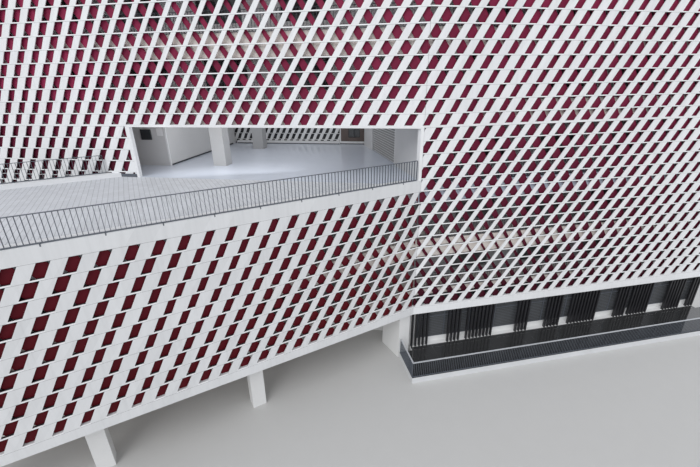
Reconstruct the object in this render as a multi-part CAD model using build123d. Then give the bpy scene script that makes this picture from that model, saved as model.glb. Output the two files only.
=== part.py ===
from build123d import *
import math
import os

# An office building at half its real size, in millimetres. Three long blocks share one
# bend corner: the main block to its left, the right block turned back from it, and a low
# terrace wing that comes forward under the main block. A white lattice skin of leaning
# strips hangs in front of every storey, and one storey of the main block is left open
# as a roofed terrace, called the mouth here.

# Lattice cell: the strips stand one CELL apart and heights are counted in rows
ROW = 390.0
CELL = 540.0
STRIP_WIDTH = 250.0
STRIP_LEAN = 280.0         # sideways shift of a strip over one row
SKIN_DEPTH = 150.0
SKIN_MARGIN = 60.0         # solid edge at the ends of a skin
SKIN_RAIL = 60.0           # level bar between two bands of holes
WIDE_CELL = 1080.0         # on the ends and backs every second strip is left out
STRIP_DATUM = 462.0        # a hole's middle at ground level, right of the bend corner

# Heights above the ground
DECK_TOP = 234.0
FLOOR_2 = 2730.0
FLOOR_3 = 4680.0
TERRACE = 6630.0
MOUTH_HEAD = 8385.0        # lower edge of the upper skins, over the mouth
FLOOR_5 = 9087.0
FLOOR_6 = 11037.0
ROOF = 12987.0
ROOF_EDGE = 13377.0
SLAB = 195.0
BEAM_DEPTH = 480.0         # edge beam under a floor slab
BEAM_WIDTH = 150.0
SKIN_FOOT = 1833.0         # lowest edge of the hanging skin
FOOT_BAND = 312.0          # plain band under the lowest row of holes
TOP_BAND = 312.0           # plain band over the highest row of holes
KERB_HEIGHT = 137.0        # kerb over the terrace floor

# Plan: lengths along each front and turns from the main front
MAIN_LENGTH = 15660.0
RIGHT_LENGTH = 13500.0
WING_LENGTH = 13500.0
BLOCK_DEPTH = 8190.0
WING_DEPTH = 6825.0
RIGHT_TURN = 20.5
WING_TURN = 38.5

# Mouth of the open storey, measured left from the bend corner
MOUTH_WIDTH = 9710.0
JAMB_WIDTH = 90.0
LINTEL_HEIGHT = 50.0
PASSAGE_COLUMN = 520.0
PASSAGE_COLUMN_X = 8010.0
PASSAGE_COLUMN_FRONT = 2080.0
PASSAGE_COLUMN_BACK = 6080.0
ROOM_SIDE = 9750.0         # right face of the room beside the mouth
ROOM_SETBACK = 1950.0
END_WALL_LENGTH = 3100.0   # plain wall from the bend corner to the louvres
SCREEN_LENGTH = 3530.0
SCREEN_DEPTH = 120.0
LOUVRES = 16
LOUVRE_THICK = 14.0
PANEL_LEFT = 4020.0
PANEL_WIDTH = 1500.0

# Rooms behind the skin
WALL = 100.0
CORRIDOR = 860.0           # between the skin's face and the front wall of the rooms
CAVITY = 340.0             # between the skin's face and the other walls of the rooms
MEETING = 860.0            # from the main front to the wing's rooms
PARTY = 40.0               # between the end walls of the two blocks' rooms
WINDOW_SILL = 330.0
WINDOW_HEIGHT = 950.0
WINDOW_WIDTH = 1500.0
WINDOW_PIER = 1250.0
GLASS = 12.0
GLASS_LAP = 50.0           # glass sheet past a wall's windows

# Ground storey
GROUND_SETBACK = 390.0     # glazed wall of the right block behind the skin's face
UNDERCROFT = 1400.0        # ground walls of the main block behind its front
PLINTH = 320.0
GROUND_GLASS = 1700.0
DECK_DEPTH = 1365.0
DECK_OVERHANG = 456.0      # deck past the bend corner
FIN_WIDTH = 60.0
FIN_DEPTH = 90.0
FIN_PITCH = 150.0
FIN_SETBACK = 180.0
# Each group of fins: its start from the bend corner as a share of the right front, and its number of fins
FIN_GROUPS = [(0.0044, 5), (0.1126, 4), (0.1704, 8), (0.3296, 4), (0.4274, 5),
              (0.5089, 9), (0.6733, 4), (0.7252, 7), (0.8607, 6), (0.9519, 3)]
UNDER_COLUMN = 420.0
UNDER_COLUMN_SETBACK = 560.0
UNDER_COLUMN_BACK = 405.0  # from the wing's far side
# Middles of the columns from the bend corner, as shares of the wing's front
FRONT_COLUMNS = [0.4193, 0.7341, 0.9593]
BACK_COLUMNS = [0.7341, 0.9593]
PIER_WIDTH = 470.0
PIER_LENGTH = 1050.0
PIER_SETBACK = 165.0

# Railings and kerbs
KERB_WIDTH = 195.0
RAIL_SETBACK = 60.0        # of the terrace railing, on the skin's top edge
RAIL_HEIGHT = 625.0
RAIL_BAR = 25.0
RAIL_POST = 20.0
RAIL_FOOT_GAP = 45.0
POST_PITCH = 1080.0
DECK_POST_PITCH = 1620.0
INFILL = 10.0
CORRIDOR_RAIL_HEIGHT = 600.0
CORRIDOR_RAIL_SETBACK = 60.0
CORRIDOR_POST_PITCH = 4320.0

UPSTAND = 90.0
GAP = 0.3                  # between pieces that seat on each other


def heading(turn):
    return Vector(1, 0, 0).rotate(Axis.Z, turn)


def walk(point, turn, along, inward=0.0):
    return point + heading(turn) * along + heading(turn + 90) * inward


# Plan corners, first about the bend corner and then moved to the middle of the footprint
def plan(bend):
    corner = {"bend": bend}
    corner["main_left"] = walk(bend, 0, -MAIN_LENGTH)
    corner["main_left_back"] = walk(bend, 0, -MAIN_LENGTH, BLOCK_DEPTH)
    corner["right_end"] = walk(bend, RIGHT_TURN, RIGHT_LENGTH)
    corner["right_end_back"] = walk(bend, RIGHT_TURN, RIGHT_LENGTH, BLOCK_DEPTH)
    slip = BLOCK_DEPTH * math.tan(math.radians(RIGHT_TURN / 2))
    corner["bend_back"] = walk(bend, 0, -slip, BLOCK_DEPTH)
    corner["wing_front"] = walk(bend, WING_TURN, -WING_LENGTH)
    corner["wing_back"] = walk(bend, WING_TURN, -WING_LENGTH, WING_DEPTH)
    corner["wing_meets"] = walk(bend, 0, -WING_DEPTH / math.sin(math.radians(WING_TURN)))
    return corner


def middle(values):
    return (min(values) + max(values)) / 2


loose = plan(Vector(0, 0, 0))
deck_corner = walk(Vector(0, 0, 0), RIGHT_TURN, RIGHT_LENGTH, -DECK_DEPTH)
outline = list(loose.values()) + [deck_corner]
BEND = Vector(-middle([p.X for p in outline]), -middle([p.Y for p in outline]), 0)
CORNER = plan(BEND)


def prism(points, low, high):
    face = Face(Wire.make_polygon([Vector(p.X, p.Y, low) for p in points], close=True))
    return extrude(face, amount=high - low, dir=(0, 0, 1))


def block(point, turn, along, inward, low, high):
    """A square block: along and inward are (from, to) measured from the point."""
    corners = [(along[0], inward[0]), (along[1], inward[0]), (along[1], inward[1]), (along[0], inward[1])]
    return prism([walk(point, turn, a, i) for a, i in corners], low, high)


def shrunk(points, amount):
    """The plan outline moved inwards on every side."""
    moved = []
    count = len(points)
    for i, point in enumerate(points):
        before = (point - points[i - 1]).normalized()
        after = (points[(i + 1) % count] - point).normalized()
        inward = before.rotate(Axis.Z, 90) + after.rotate(Axis.Z, 90)
        moved.append(point + inward * (amount / (1 + before.dot(after))))
    return moved


def wall_plane(start, turn):
    """A wall seen from outside: x runs along it, y is up, z points outwards."""
    return Plane(origin=start, x_dir=heading(turn), z_dir=heading(turn - 90))


def plate(start, turn, outline, holes, depth, setback=0.0):
    """A wall plate with its outer face on the plane, cut through by the holes."""
    outer = Wire.make_polygon([(x, y, 0) for x, y in outline], close=True)
    inner = [Wire.make_polygon([(x, y, 0) for x, y in hole], close=True) for hole in holes]
    solid = extrude(Face(outer, inner), amount=depth, dir=(0, 0, -1))
    return wall_plane(walk(start, turn, 0, setback), turn).location * solid


def rectangle(x0, x1, y0, y1):
    return [(x0, y0), (x1, y0), (x1, y1), (x0, y1)]


def clip_side(points, limit, keep_right):
    """The part of a convex outline on one side of an upright line."""
    kept = []
    for i, (x, y) in enumerate(points):
        px, py = points[i - 1]
        inside = x > limit if keep_right else x < limit
        was_inside = px > limit if keep_right else px < limit
        if inside != was_inside:
            kept.append((limit, py + (y - py) * (limit - px) / (x - px)))
        if inside:
            kept.append((x, y))
    return kept


def leaning_holes(x0, x1, bands, datum, cell):
    """Leaning holes between two ends, in bands of height, all in line with the datum."""
    holes = []
    lean = STRIP_LEAN / ROW
    width = cell - STRIP_WIDTH
    for low, high in bands:
        first = math.floor((x0 - datum - high * lean) / cell) - 1
        last = math.ceil((x1 - datum - low * lean) / cell) + 1
        for i in range(first, last + 1):
            left = datum + i * cell - width / 2
            right = left + width
            hole = [(left + low * lean, low), (right + low * lean, low),
                    (right + high * lean, high), (left + high * lean, high)]
            hole = clip_side(hole, x0, True)
            hole = clip_side(hole, x1, False) if hole else hole
            if hole and max(x for x, y in hole) - min(x for x, y in hole) > SKIN_MARGIN:
                holes.append(hole)
    return holes


def hole_bands(low, high):
    """Bands of holes between level bars, which stand at every second floor."""
    levels = [SKIN_FOOT + FOOT_BAND, TERRACE - ROW / 2, MOUTH_HEAD, ROOF_EDGE - TOP_BAND]
    bands = []
    for bottom, top in zip(levels, levels[1:]):
        bottom = max(bottom, low + SKIN_MARGIN)
        top = min(top, high - SKIN_MARGIN)
        if top - bottom > ROW:
            bands.append((bottom + SKIN_RAIL / 2, top - SKIN_RAIL / 2))
    return bands


def skin(start, turn, length, low, high, ends=(90.0, 90.0), datum=0.0, cell=CELL):
    """A lattice skin. ends are the turns to its neighbour walls, negative where it folds in, 0 for square."""
    grow = [SKIN_DEPTH * math.tan(math.radians(-turn_by / 2)) if turn_by < 0 else 0.0 for turn_by in ends]
    outline = rectangle(-grow[0], length + grow[1], low, high)
    holes = leaning_holes(SKIN_MARGIN, length - SKIN_MARGIN, hole_bands(low, high), datum, cell)
    solid = plate(start, turn, outline, holes, SKIN_DEPTH)
    finish = walk(start, turn, length)
    if ends[0]:
        side = heading(turn - ends[0] / 2)
        solid = split(solid, bisect_by=Plane(origin=start + side * GAP, z_dir=side), keep=Keep.TOP)
    if ends[1]:
        side = heading(turn + 180 + ends[1] / 2)
        solid = split(solid, bisect_by=Plane(origin=finish + side * GAP, z_dir=side), keep=Keep.TOP)
    return solid


def room_ring(points, low, high, window_sides, sill=WINDOW_SILL, head=WINDOW_SILL + WINDOW_HEIGHT):
    """Walls round a room with windows along the named sides, and the glass sheets behind them."""
    ring = prism(points, low + GAP, high - GAP) - prism(shrunk(points, WALL), low, high)
    cutters = []
    panes = []
    for side in window_sides:
        start = points[side]
        along = points[(side + 1) % len(points)] - start
        turn = math.degrees(math.atan2(along.Y, along.X))
        length = along.length
        count = int((length - WINDOW_PIER) // (WINDOW_WIDTH + WINDOW_PIER))
        first = (length - count * WINDOW_WIDTH - (count - 1) * WINDOW_PIER) / 2
        for i in range(count):
            left = first + i * (WINDOW_WIDTH + WINDOW_PIER)
            cutters.append(block(start, turn, (left, left + WINDOW_WIDTH), (-WALL, 2 * WALL),
                                 low + sill, low + head))
        sheet = (first - GLASS_LAP, length - first + GLASS_LAP)
        inward = (WALL + GAP, WALL + GAP + GLASS)
        panes.append(block(start, turn, sheet, inward, low + sill - GLASS_LAP, low + head + GLASS_LAP))
    return ring - cutters, panes


def railing(start, turn, length, base, height, post_pitch, inward=0.0):
    """A handrail and a foot rail on square posts, fused into one piece."""
    rail = (inward, inward + RAIL_BAR)
    top = block(start, turn, (0, length), rail, base + height - RAIL_BAR, base + height)
    foot = block(start, turn, (0, length), rail, base + RAIL_FOOT_GAP, base + RAIL_FOOT_GAP + RAIL_BAR)
    inset = inward + (RAIL_BAR - RAIL_POST) / 2
    count = max(2, round(length / post_pitch) + 1)
    step = (length - RAIL_POST) / (count - 1)
    posts = [block(start, turn, (i * step, i * step + RAIL_POST), (inset, inset + RAIL_POST),
                   base + GAP, base + height - RAIL_BAR) for i in range(count)]
    return top + [foot] + posts


# Plan outlines of the floors
def upper_outline():
    names = ["main_left", "bend", "right_end", "right_end_back", "bend_back", "main_left_back"]
    return [CORNER[name] for name in names]


def lower_outline():
    names = ["main_left", "wing_meets", "wing_back", "wing_front", "bend",
             "right_end", "right_end_back", "bend_back", "main_left_back"]
    return [CORNER[name] for name in names]


def floor_slab(points, top, beam=BEAM_DEPTH):
    """A slab behind the skins, with an edge beam under it all round."""
    outer = shrunk(points, SKIN_DEPTH + GAP)
    slab = prism(outer, top - SLAB, top)
    if beam == 0:
        return slab
    inner = shrunk(points, SKIN_DEPTH + GAP + BEAM_WIDTH)
    return slab + (prism(outer, top - SLAB - beam, top - SLAB) - prism(inner, top - SLAB - beam, top - SLAB))


# Plan outlines of the rooms
def main_room(front=CORRIDOR, right_face=None):
    """The rooms of the main block, ended beside the right block or at a right face."""
    back = BLOCK_DEPTH - CAVITY
    lean = math.tan(math.radians(RIGHT_TURN))
    if right_face is None:
        ends = [-front * lean, -back * lean]
    else:
        ends = [-right_face, -right_face]
    left = -MAIN_LENGTH + CAVITY
    return [walk(BEND, 0, left, front), walk(BEND, 0, ends[0], front),
            walk(BEND, 0, ends[1], back), walk(BEND, 0, left, back)]


def right_room(front=CORRIDOR, side=PARTY):
    back = BLOCK_DEPTH - CAVITY
    far = RIGHT_LENGTH - CAVITY
    corners = [(side, front), (far, front), (far, back), (side, back)]
    return [walk(BEND, RIGHT_TURN, a, i) for a, i in corners]


def wing_room():
    """The rooms of the wing, which stop in line with the main front and short of it."""
    turn = math.radians(WING_TURN)
    back = WING_DEPTH - CAVITY
    far = -WING_LENGTH + CAVITY
    reach = -MEETING / math.sin(turn)
    corners = [(far, CORRIDOR), (reach - CORRIDOR / math.tan(turn), CORRIDOR),
               (reach - back / math.tan(turn), back), (far, back)]
    return [walk(BEND, WING_TURN, a, i) for a, i in corners]


front_and_back = (0, 2)
front_only = (0,)


def storeys():
    """For each storey: name, floor level, level of the floor above, and its rooms."""
    main = (main_room(), front_and_back)
    right = (right_room(), front_and_back)
    wing = (wing_room(), front_only)
    beside_mouth = (main_room(ROOM_SETBACK, ROOM_SIDE), front_only)
    behind_louvres = (right_room(CORRIDOR, CAVITY), front_and_back)
    return [("floor_2", FLOOR_2, FLOOR_3, [main, right, wing]),
            ("floor_3", FLOOR_3, TERRACE, [main, right, wing]),
            ("terrace_floor", TERRACE, FLOOR_5, [beside_mouth, behind_louvres]),
            ("floor_5", FLOOR_5, FLOOR_6, [main, right]),
            ("floor_6", FLOOR_6, ROOF, [main, right])]


def storey_rooms():
    """Walls and glass of every upper storey, and of the ground storey with its taller glass."""
    pieces = {}
    for name, low, high, rooms in storeys():
        built = [room_ring(points, low, high - SLAB, sides) for points, sides in rooms]
        pieces[name + "_walls"] = [ring for ring, panes in built]
        pieces[name + "_glass"] = [pane for ring, panes in built for pane in panes]
    low, high = DECK_TOP, FLOOR_2 - SLAB
    main = room_ring(main_room(UNDERCROFT), low, high, front_only)
    right = room_ring(right_room(GROUND_SETBACK), low, high, front_only, PLINTH, PLINTH + GROUND_GLASS)
    pieces["terrace_floor_walls"] += passage_end_wall()
    pieces["ground_walls"] = [main[0], right[0]]
    pieces["ground_glass"] = main[1] + right[1]
    return pieces


# Skins
def main_skins():
    """The skins of the main block, all in step with the strips at the bend corner."""
    head = MOUTH_HEAD + GAP
    datum = MAIN_LENGTH + STRIP_DATUM
    beside = MAIN_LENGTH - MOUTH_WIDTH - JAMB_WIDTH - GAP
    meets = MAIN_LENGTH + (CORNER["wing_meets"] - BEND).X
    back = (CORNER["bend_back"] - CORNER["main_left_back"]).length
    left, left_back, bend_back = CORNER["main_left"], CORNER["main_left_back"], CORNER["bend_back"]
    full = (SKIN_FOOT, ROOF_EDGE)
    return {
        "main_skin_upper": skin(left, 0, MAIN_LENGTH, head, ROOF_EDGE, (90, RIGHT_TURN), datum),
        "main_skin_beside_mouth": skin(left, 0, beside, TERRACE + GAP, head - GAP, (90, 0), datum),
        "main_skin_low": skin(left, 0, meets - GAP, SKIN_FOOT, TERRACE, (90, 0), datum),
        "main_skin_back": skin(bend_back, 180, back, *full, (-RIGHT_TURN, 90), 0, WIDE_CELL),
        "main_skin_end": skin(left_back, 270, BLOCK_DEPTH, *full, (90, 90), 0, WIDE_CELL),
    }


def right_skins():
    """The skins of the right block. The front is in two parts, as it folds in over the wing only."""
    head = MOUTH_HEAD + GAP
    back = (CORNER["right_end_back"] - CORNER["bend_back"]).length
    end, end_back = CORNER["right_end"], CORNER["right_end_back"]
    fold = RIGHT_TURN - WING_TURN
    full = (SKIN_FOOT, ROOF_EDGE)
    return {
        "right_skin_upper": skin(BEND, RIGHT_TURN, RIGHT_LENGTH, head, ROOF_EDGE, (RIGHT_TURN, 90), STRIP_DATUM),
        "right_skin_lower": skin(BEND, RIGHT_TURN, RIGHT_LENGTH, SKIN_FOOT, head - GAP, (fold, 90), STRIP_DATUM),
        "right_skin_end": skin(end, RIGHT_TURN + 90, BLOCK_DEPTH, *full, (90, 90), 0, WIDE_CELL),
        "right_skin_back": skin(end_back, RIGHT_TURN + 180, back, *full, (90, -RIGHT_TURN), 0, WIDE_CELL),
    }


def wing_skins():
    top = TERRACE + KERB_HEIGHT
    stub = (CORNER["wing_back"] - CORNER["wing_meets"]).length
    datum = WING_LENGTH + STRIP_DATUM
    fold = RIGHT_TURN - WING_TURN
    along_main = 2 * WING_TURN - 180
    meets = CORNER["wing_meets"]
    return {
        "wing_skin_front": skin(CORNER["wing_front"], WING_TURN, WING_LENGTH, SKIN_FOOT, top, (90, fold), datum),
        "wing_skin_end": skin(CORNER["wing_back"], WING_TURN - 90, WING_DEPTH, SKIN_FOOT, top),
        "wing_skin_back": skin(meets, WING_TURN + 180, stub, SKIN_FOOT, top, (along_main, 90)),
    }


# The mouth and the open storey behind it
def mouth_frame():
    """White trim round the mouth: a post at each side under a thin lintel."""
    head = MOUTH_HEAD - GAP
    half = (RIGHT_TURN + WING_TURN) / 2 + 90
    slant = heading(half) * (SKIN_DEPTH / math.sin(math.radians(half)))
    front = [walk(BEND, 0, -JAMB_WIDTH), walk(BEND, 0, -GAP)]
    right = prism(front + [front[1] + slant, front[0] + slant], TERRACE + KERB_HEIGHT + GAP, head)
    edge = -MOUTH_WIDTH - JAMB_WIDTH
    left = block(BEND, 0, (edge, edge + JAMB_WIDTH), (0, SKIN_DEPTH), TERRACE + GAP, head)
    lintel = block(BEND, 0, (edge, -JAMB_WIDTH), (0, SKIN_DEPTH), head - LINTEL_HEIGHT, head)
    return left + lintel + right


def passage_columns():
    low, high = TERRACE + GAP, FLOOR_5 - SLAB - GAP
    across = (-PASSAGE_COLUMN_X, -PASSAGE_COLUMN_X + PASSAGE_COLUMN)
    fronts = [PASSAGE_COLUMN_FRONT, PASSAGE_COLUMN_BACK]
    return [block(BEND, 0, across, (front, front + PASSAGE_COLUMN), low, high) for front in fronts]


def passage_end_wall():
    """The right block's end beside the open storey, in two parts with room for the louvres between."""
    low, high = TERRACE + GAP, FLOOR_5 - SLAB - GAP
    across = (SCREEN_DEPTH, SCREEN_DEPTH + WALL)
    edge = SKIN_DEPTH + 2 * GAP
    behind_beam = edge + BEAM_WIDTH + GAP
    clear_of_skin = edge + across[1] * math.tan(math.radians(RIGHT_TURN / 2))
    front = block(BEND, RIGHT_TURN, across, (clear_of_skin, END_WALL_LENGTH), low, high - BEAM_DEPTH)
    front += block(BEND, RIGHT_TURN, across, (behind_beam, END_WALL_LENGTH), low, high)
    start = END_WALL_LENGTH + SCREEN_LENGTH
    after = block(BEND, RIGHT_TURN, across, (start, BLOCK_DEPTH - edge), low, high - BEAM_DEPTH)
    after += block(BEND, RIGHT_TURN, across, (start, BLOCK_DEPTH - behind_beam), low, high)
    return [front, after]


def passage_screen():
    """Level louvres between two posts, fused into one flat screen."""
    low, high = TERRACE + GAP, FLOOR_5 - SLAB - GAP
    near = END_WALL_LENGTH + GAP
    far = END_WALL_LENGTH + SCREEN_LENGTH - GAP
    across = (SCREEN_DEPTH, SCREEN_DEPTH + WALL)
    screen = block(BEND, RIGHT_TURN, across, (near, near + WALL / 2), low, high)
    screen += block(BEND, RIGHT_TURN, across, (far - WALL / 2, far), low, high)
    step = (high - low) / (LOUVRES + 1)
    blades = [block(BEND, RIGHT_TURN, across, (near + WALL / 4, far - WALL / 4),
                    low + step * (i + 1), low + step * (i + 1) + LOUVRE_THICK) for i in range(LOUVRES)]
    return screen + blades


def passage_back_panel():
    """The solid panel with one window at the far right of the open storey, under the edge beam."""
    low, high = TERRACE + GAP, FLOOR_5 - SLAB - BEAM_DEPTH - GAP
    inward = BLOCK_DEPTH - SKIN_DEPTH - 2 * GAP - WALL
    outline = rectangle(0, PANEL_WIDTH, low, high)
    hole = rectangle(PANEL_WIDTH * 0.3, PANEL_WIDTH * 0.7, low + WINDOW_SILL, low + WINDOW_SILL + WINDOW_HEIGHT)
    return plate(walk(BEND, 0, -PANEL_LEFT), 0, outline, [hole], WALL, inward)


def passage_kerb():
    """Low kerb at the foot of the open storey's far skin."""
    inward = (BLOCK_DEPTH - SKIN_DEPTH - 2 * GAP - KERB_WIDTH, BLOCK_DEPTH - SKIN_DEPTH - 2 * GAP)
    across = (-ROOM_SIDE + WALL, -PANEL_LEFT - GAP)
    return block(BEND, 0, across, inward, TERRACE + GAP, TERRACE + KERB_HEIGHT)


# Ground storey
def ground_slabs():
    """The ground floors of the two blocks, each a low plinth from the ground to the deck's level."""
    return [prism(main_room(UNDERCROFT), 0, DECK_TOP), prism(right_room(0), 0, DECK_TOP)]


def front_deck():
    along = (-DECK_OVERHANG, RIGHT_LENGTH)
    return block(BEND, RIGHT_TURN, along, (-DECK_DEPTH, -GAP), 0, DECK_TOP)


def shade_fins():
    """Groups of upright dark fins between the deck's level and the floor above."""
    fins = []
    inward = (FIN_SETBACK, FIN_SETBACK + FIN_DEPTH)
    for start, count in FIN_GROUPS:
        for i in range(count):
            left = start * RIGHT_LENGTH + i * FIN_PITCH
            fins.append(block(BEND, RIGHT_TURN, (left, left + FIN_WIDTH), inward,
                              DECK_TOP + GAP, FLOOR_2 - SLAB - GAP))
    return fins


def under_columns():
    """Square columns under the wing, from the ground to its lowest floor."""
    top = FLOOR_2 - SLAB - GAP
    back_row = WING_DEPTH - UNDER_COLUMN_BACK - UNDER_COLUMN
    columns = []
    for shares, setback in [(FRONT_COLUMNS, UNDER_COLUMN_SETBACK), (BACK_COLUMNS, back_row)]:
        for share in shares:
            right = -share * WING_LENGTH + UNDER_COLUMN / 2
            columns.append(block(BEND, WING_TURN, (right - UNDER_COLUMN, right), (setback, setback + UNDER_COLUMN),
                                 0, top))
    return columns


def bend_pier():
    along = (-PIER_WIDTH - GAP, -GAP)
    return block(BEND, WING_TURN, along, (PIER_SETBACK, PIER_SETBACK + PIER_LENGTH), 0, FLOOR_2 - SLAB - GAP)


# Kerbs, railings and the roof's upstand
def wing_edges():
    """The three free edges of the terrace: start corner, turn, length."""
    stub = (CORNER["wing_back"] - CORNER["wing_meets"]).length
    return [(CORNER["wing_front"], WING_TURN, WING_LENGTH),
            (CORNER["wing_back"], WING_TURN - 90, WING_DEPTH),
            (CORNER["wing_meets"], WING_TURN + 180, stub)]


def in_front_of_main(solid):
    """What lies on the terrace's side of the main front."""
    return split(solid, bisect_by=Plane(origin=walk(BEND, 0, 0, -GAP), z_dir=(0, 1, 0)), keep=Keep.BOTTOM)


def wing_kerb():
    """A kerb inside the skin along the three free edges, in one piece."""
    outer = shrunk(lower_outline(), SKIN_DEPTH + GAP)[1:5]
    inner = shrunk(lower_outline(), SKIN_DEPTH + GAP + KERB_WIDTH)[1:5]
    return in_front_of_main(prism(outer + inner[::-1], TERRACE + GAP, TERRACE + KERB_HEIGHT))


def wing_railings():
    """Railings on the skin's top edge: the front one ends at the mouth, the back one at the main skin."""
    base = TERRACE + KERB_HEIGHT
    line = RAIL_SETBACK
    (front, front_turn, front_length), (end, end_turn, end_length), (back, back_turn, back_length) = wing_edges()
    short = line + RAIL_BAR
    front_stop = front_length - short / math.tan(math.radians(WING_TURN)) - RAIL_BAR
    start = walk(front, front_turn, line)
    stub = back_length - line
    return {
        "wing_railing_front": railing(start, front_turn, front_stop - line, base, RAIL_HEIGHT, POST_PITCH, line),
        "wing_railing_end": railing(walk(end, end_turn, short + GAP), end_turn, end_length - 2 * (short + GAP),
                                    base, RAIL_HEIGHT, POST_PITCH, line),
        "wing_railing_back": railing(walk(back, back_turn, RAIL_BAR), back_turn, stub - RAIL_BAR,
                                     base, RAIL_HEIGHT, POST_PITCH, line),
    }


def deck_railing():
    """Railing along the deck's front and its end beside the wing, with a dark sheet inside it."""
    corner = walk(BEND, RIGHT_TURN, -DECK_OVERHANG, -DECK_DEPTH)
    length = RIGHT_LENGTH + DECK_OVERHANG
    side = walk(corner, RIGHT_TURN, 0, DECK_DEPTH - RAIL_BAR)
    side_length = DECK_DEPTH - 3 * RAIL_BAR
    front_rail = railing(corner, RIGHT_TURN, length, DECK_TOP, RAIL_HEIGHT, DECK_POST_PITCH, RAIL_BAR)
    side_rail = railing(side, RIGHT_TURN - 90, side_length, DECK_TOP, RAIL_HEIGHT, DECK_POST_PITCH)
    low = DECK_TOP + RAIL_FOOT_GAP
    high = DECK_TOP + RAIL_HEIGHT - RAIL_BAR
    inside = 2 * RAIL_BAR + GAP
    front_sheet = block(corner, RIGHT_TURN, (inside + RAIL_BAR, length), (inside, inside + INFILL), low, high)
    side_sheet = block(corner, RIGHT_TURN, (RAIL_BAR + GAP, RAIL_BAR + GAP + INFILL),
                       (inside + RAIL_BAR, DECK_DEPTH - RAIL_BAR), low, high)
    return [front_rail, side_rail, front_sheet, side_sheet]


def corridor_rails():
    """Plain railings at the open edge of each corridor, behind the skin."""
    line = SKIN_DEPTH + CORRIDOR_RAIL_SETBACK
    main_start = walk(BEND, 0, -MAIN_LENGTH + CAVITY)
    main_length = MAIN_LENGTH - 2 * CAVITY
    right_start = walk(BEND, RIGHT_TURN, CAVITY)
    right_length = RIGHT_LENGTH - 2 * CAVITY
    rails = [railing(main_start, 0, main_length, level, CORRIDOR_RAIL_HEIGHT, CORRIDOR_POST_PITCH, line)
             for level in (FLOOR_5, FLOOR_6)]
    rails += [railing(right_start, RIGHT_TURN, right_length, level, CORRIDOR_RAIL_HEIGHT, CORRIDOR_POST_PITCH, line)
              for level in (FLOOR_2, FLOOR_3, TERRACE, FLOOR_5, FLOOR_6)]
    return rails


def roof_upstand():
    outer = shrunk(upper_outline(), SKIN_DEPTH + GAP)
    inner = shrunk(upper_outline(), SKIN_DEPTH + GAP + UPSTAND)
    return prism(outer, ROOF + GAP, ROOF_EDGE) - prism(inner, ROOF, ROOF_EDGE + UPSTAND)


def floor_slabs():
    lower, upper = lower_outline(), upper_outline()
    return {"floor_2_slab": floor_slab(lower, FLOOR_2, 0), "floor_3_slab": floor_slab(lower, FLOOR_3),
            "terrace_slab": floor_slab(lower, TERRACE), "floor_5_slab": floor_slab(upper, FLOOR_5),
            "floor_6_slab": floor_slab(upper, FLOOR_6), "roof_slab": floor_slab(upper, ROOF)}


def write(name, pieces):
    """One file a node. Its pieces are kept as separate solids."""
    groups = pieces if isinstance(pieces, list) else [pieces]
    shape = Compound(children=[solid for group in groups for solid in group.solids()])
    shape.label = name
    export_step(shape, f"parts/{name}.step")


def building():
    """Every node of the building by name."""
    nodes = {}
    for group in (floor_slabs(), storey_rooms(), main_skins(), right_skins(), wing_skins(), wing_railings()):
        nodes.update(group)
    nodes.update({
        "ground_slabs": ground_slabs(), "front_deck": front_deck(), "shade_fins": shade_fins(),
        "under_columns": under_columns() + [bend_pier()], "mouth_frame": mouth_frame(),
        "passage_columns": passage_columns(),
        "passage_screen": passage_screen(), "passage_back_panel": passage_back_panel(),
        "terrace_kerbs": [wing_kerb(), passage_kerb()], "deck_railing": deck_railing(),
        "corridor_rails": corridor_rails(), "roof_upstand": roof_upstand(),
    })
    return nodes


os.makedirs("parts", exist_ok=True)
for name, pieces in building().items():
    write(name, pieces)
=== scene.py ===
import math

import bmesh
import bpy
from mathutils import Matrix, Vector


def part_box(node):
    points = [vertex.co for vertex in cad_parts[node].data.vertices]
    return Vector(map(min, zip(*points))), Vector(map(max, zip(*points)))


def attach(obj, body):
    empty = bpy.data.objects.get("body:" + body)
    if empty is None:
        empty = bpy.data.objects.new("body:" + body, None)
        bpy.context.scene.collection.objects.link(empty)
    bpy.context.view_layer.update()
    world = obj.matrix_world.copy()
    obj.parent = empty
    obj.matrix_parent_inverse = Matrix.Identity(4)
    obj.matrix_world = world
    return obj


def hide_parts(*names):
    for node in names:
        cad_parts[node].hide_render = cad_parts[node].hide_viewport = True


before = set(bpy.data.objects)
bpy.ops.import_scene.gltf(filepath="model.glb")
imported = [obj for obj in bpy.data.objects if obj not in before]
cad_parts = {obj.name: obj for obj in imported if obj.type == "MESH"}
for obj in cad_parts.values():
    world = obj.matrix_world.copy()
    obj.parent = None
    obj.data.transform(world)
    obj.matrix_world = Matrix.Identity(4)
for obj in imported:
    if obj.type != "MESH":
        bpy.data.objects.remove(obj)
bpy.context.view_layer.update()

# Sizes in metres, the same as in the solid model
ROW = 0.390
CELL = 0.540
LEAN = 0.280 / 0.390
BACK_LEAN = CELL / ROW - LEAN
STRIP_DATUM = 0.462
MAIN_LENGTH = 15.660
RIGHT_LENGTH = 13.500
WING_LENGTH = 13.500
BLOCK_DEPTH = 8.190
WING_DEPTH = 6.825
RIGHT_TURN = math.radians(20.5)
WING_TURN = math.radians(38.5)
SQUARE = math.radians(90)
SKIN_DEPTH = 0.150
SKIN_MARGIN = 0.060        # solid edge at the ends of a skin
BEND_MARGIN = 0.005        # and where the front only bends
BEND_LIMIT = 0.5           # a turn in radians under which an end is a bend
SKIN_FOOT = 1.833
FOOT_BAND = 0.312
TOP_BAND = 0.312
TERRACE = 6.630
MOUTH_HEAD = 8.385
ROOF_EDGE = 13.377
KERB_HEIGHT = 0.137
KERB_WIDTH = 0.195
MOUTH_WIDTH = 9.710
ROOM_SIDE = 9.750
ROOM_SETBACK = 1.950
END_WALL_LENGTH = 3.100
SCREEN_LENGTH = 3.530
SCREEN_DEPTH = 0.120
PANEL_LEFT = 4.020
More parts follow.
